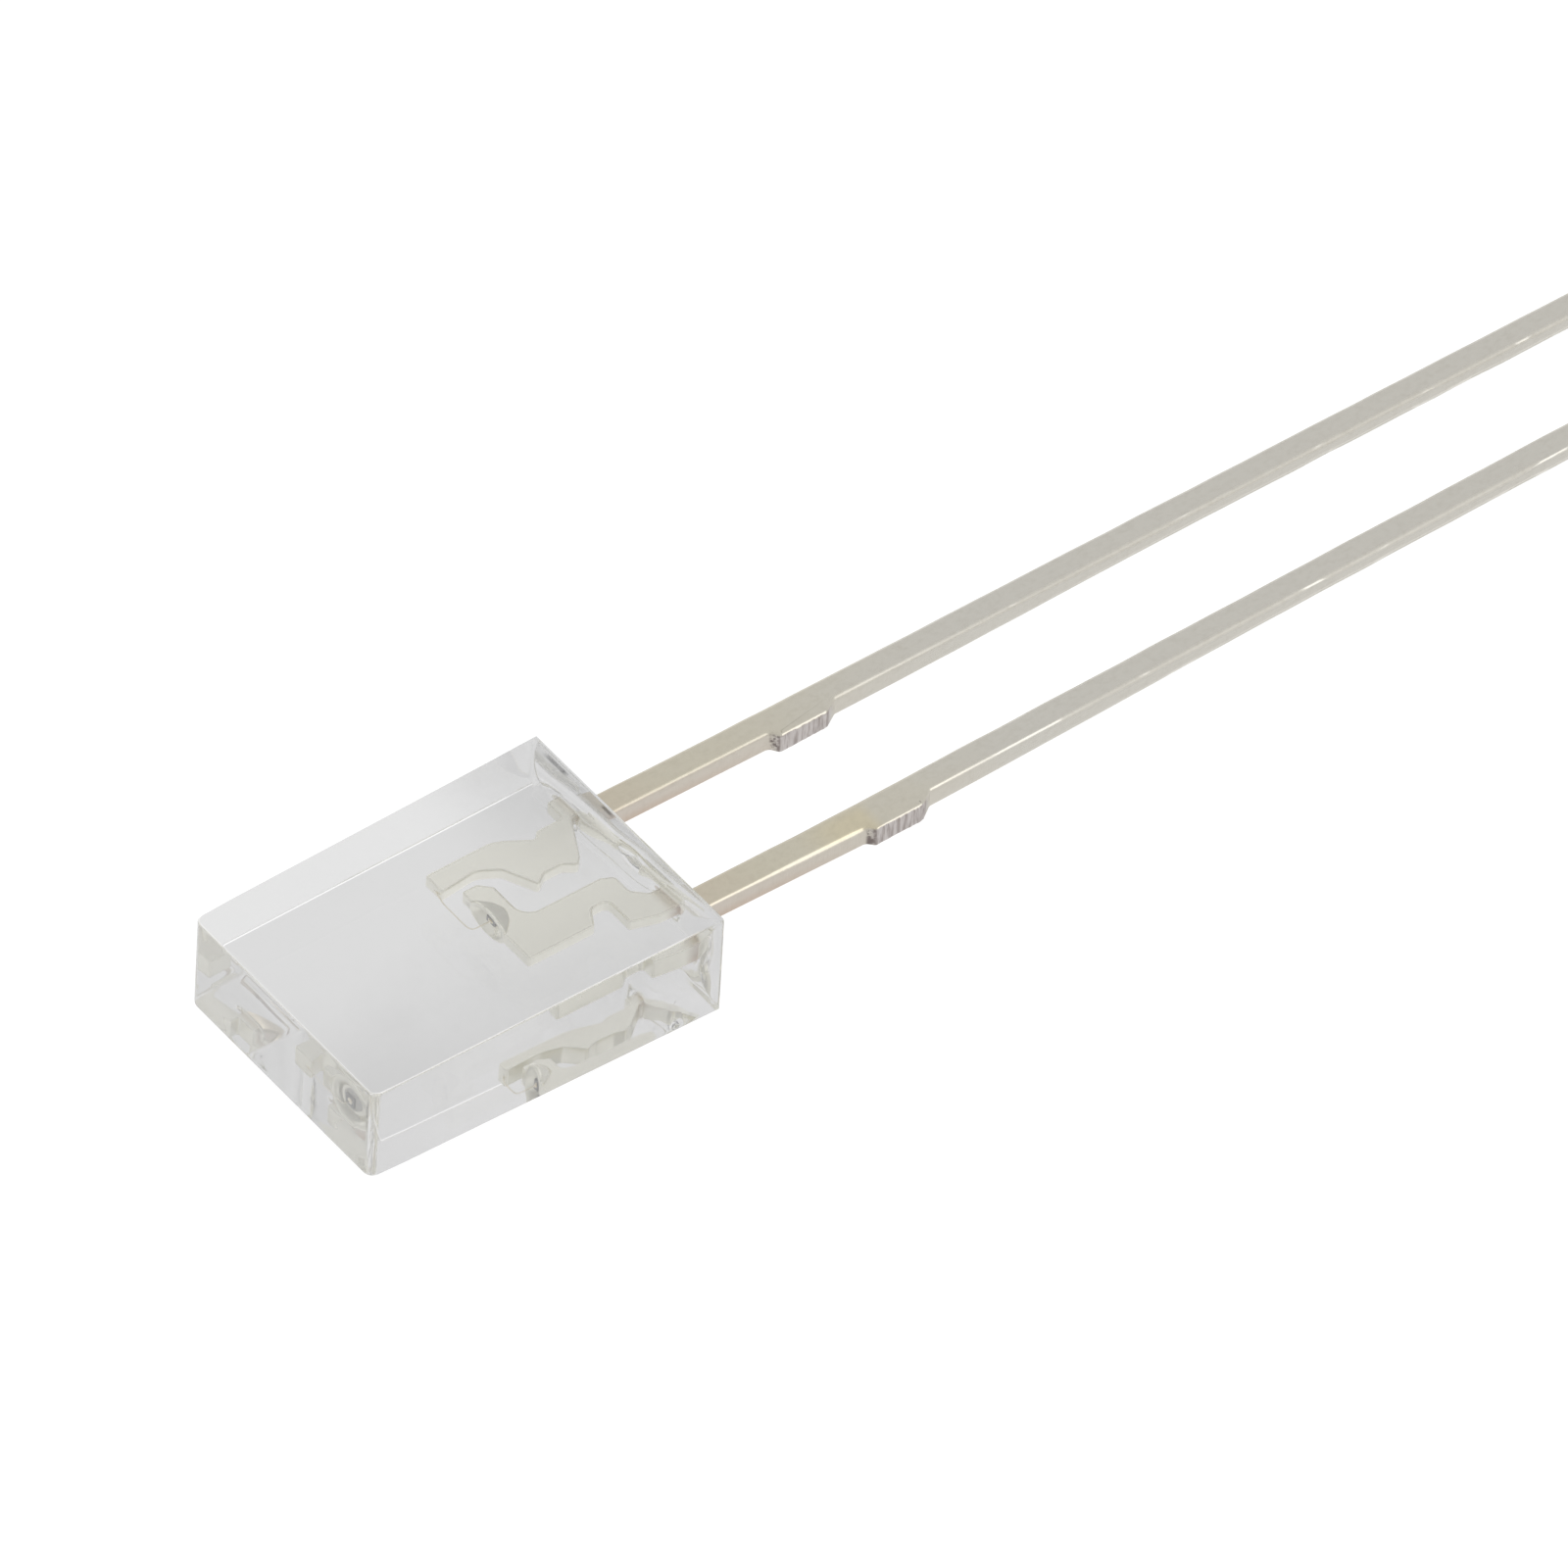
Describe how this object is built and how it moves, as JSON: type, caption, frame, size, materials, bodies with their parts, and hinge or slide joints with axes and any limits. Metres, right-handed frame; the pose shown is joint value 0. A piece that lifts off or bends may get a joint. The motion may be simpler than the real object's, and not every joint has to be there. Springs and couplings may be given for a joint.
{
  "type": "light-emitting diode",
  "caption": "Rectangular light-emitting diode cast in clear resin, with an anvil, cup and post inside and two long straight leads with cut tie-bar stubs.",
  "frame": {"origin": "middle of the rim of the seating end, halfway between the leads", "axes": "+Y out along the leads and away from the light, +Z square to a broad face, +X from the anode lead to the cathode lead"},
  "size_m": [0.005, 0.0338, 0.002],
  "materials": {
    "clear_resin": "water clear, polished",
    "plated_steel": "satin plating, faintly warm",
    "semiconductor": "dark, smooth",
    "silver_adhesive": "matt",
    "gold_wire": "bright"
  },
  "bodies": {
    "root": {"epoxy_body": "clear_resin", "cathode_lead": "plated_steel", "anode_lead": "plated_steel", "led_chip": "semiconductor", "die_attach": "silver_adhesive", "bond_wire": "gold_wire"}
  },
  "joints": []
}
